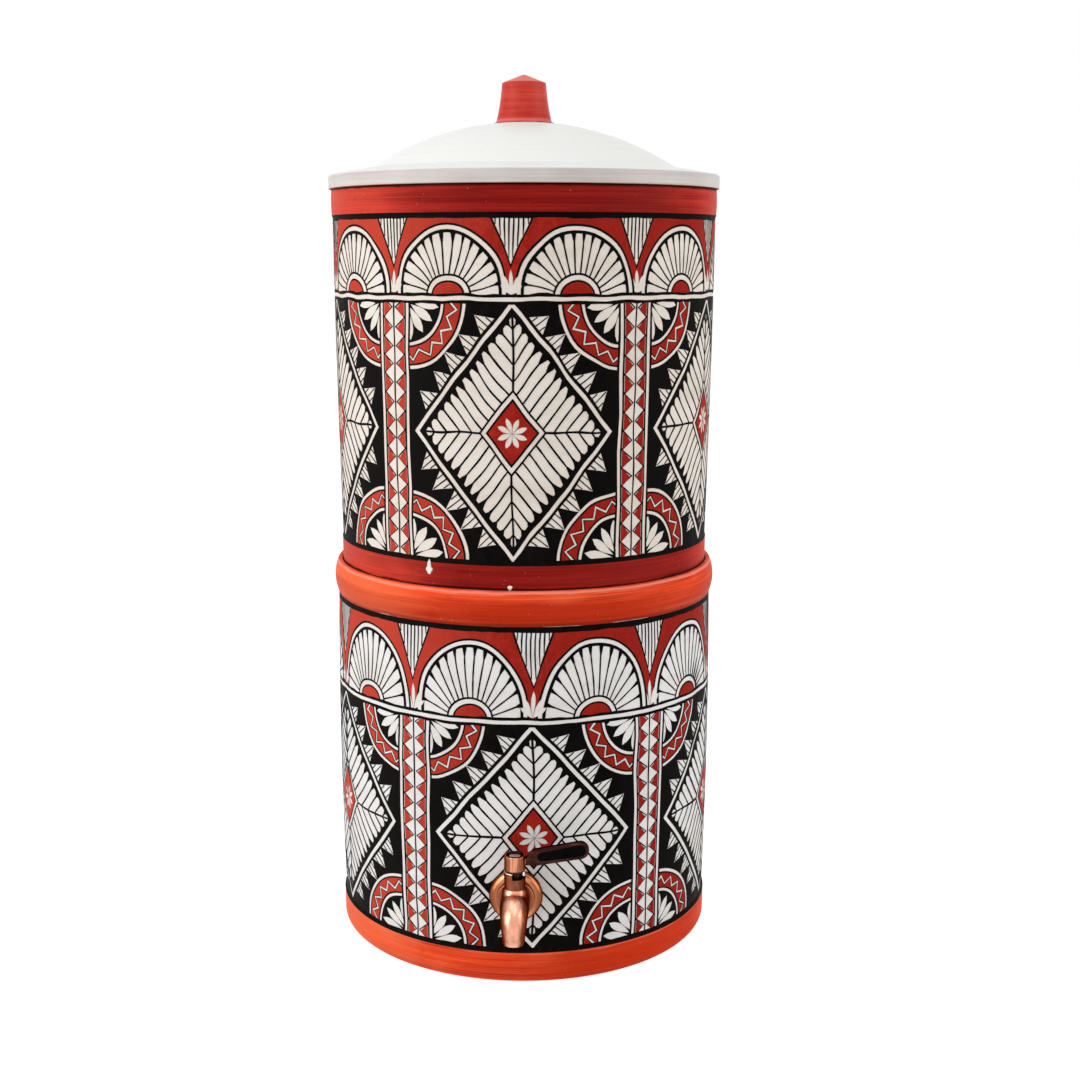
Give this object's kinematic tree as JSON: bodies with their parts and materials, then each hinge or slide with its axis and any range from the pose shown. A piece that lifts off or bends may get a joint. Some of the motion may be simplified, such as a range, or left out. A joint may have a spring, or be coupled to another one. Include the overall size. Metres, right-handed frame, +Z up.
{
  "type": "two-tier clay water dispenser",
  "caption": "Upper clay jar with a filter candle standing in the rolled rim of a lower clay jar, with a lift-off lid and a quarter-turn lever tap.",
  "frame": {"origin": "centre of the lower jar's flat underside", "axes": "+Z up along the jars' axis, -Y towards the tap, +X to the right seen from the tap"},
  "size_m": [0.2724, 0.3123, 0.6058],
  "materials": {
    "painted_clay": "hand-painted, satin",
    "white_clay": "satin white paint",
    "red_clay": "satin red paint",
    "copper": "polished copper finish",
    "dark_copper": "brushed copper finish",
    "steel": "satin",
    "silicone": "matte",
    "black_rubber": "matte",
    "black_grip": "satin",
    "seat_plastic": "smooth",
    "nut_plastic": "moulded",
    "filter_ceramic": "unglazed"
  },
  "bodies": {
    "lower": {"lower_jar": "painted_clay", "tap_flange": "copper", "outer_washer": "silicone", "inner_washer": "silicone", "back_nut": "nut_plastic", "tap_body": "copper", "tap_bonnet": "copper", "front_seat": "seat_plastic", "rear_seat": "seat_plastic", "seat_retainer": "steel"},
    "upper": {"upper_jar": "painted_clay", "filter_candle": "filter_ceramic", "candle_base": "nut_plastic", "candle_upper_washer": "silicone", "candle_lower_washer": "silicone", "wing_nut": "nut_plastic"},
    "lid": {"lid": "white_clay", "lid_knob": "red_clay"},
    "lever": {"lever_handle": "dark_copper", "lever_inlay": "black_grip", "lever_screw": "steel", "stop_pin": "steel", "dust_washer": "black_rubber", "valve_stem": "steel", "stem_o_rings": "black_rubber", "valve_ball": "steel"}
  },
  "joints": [
    {"name": "upper_jar_lift", "type": "slide", "parent": "lower", "child": "upper", "axis": [0, 0, 1], "range_m": [0, 0.3]},
    {"name": "lid_lift", "type": "slide", "parent": "upper", "child": "lid", "axis": [0, 0, 1], "range_m": [0, 0.2]},
    {"name": "lever_turn", "type": "hinge", "parent": "lower", "child": "lever", "pos_m": [0, -0.14946, 0.088], "axis": [0, 0, 1], "range_deg": [-90, 0]}
  ]
}
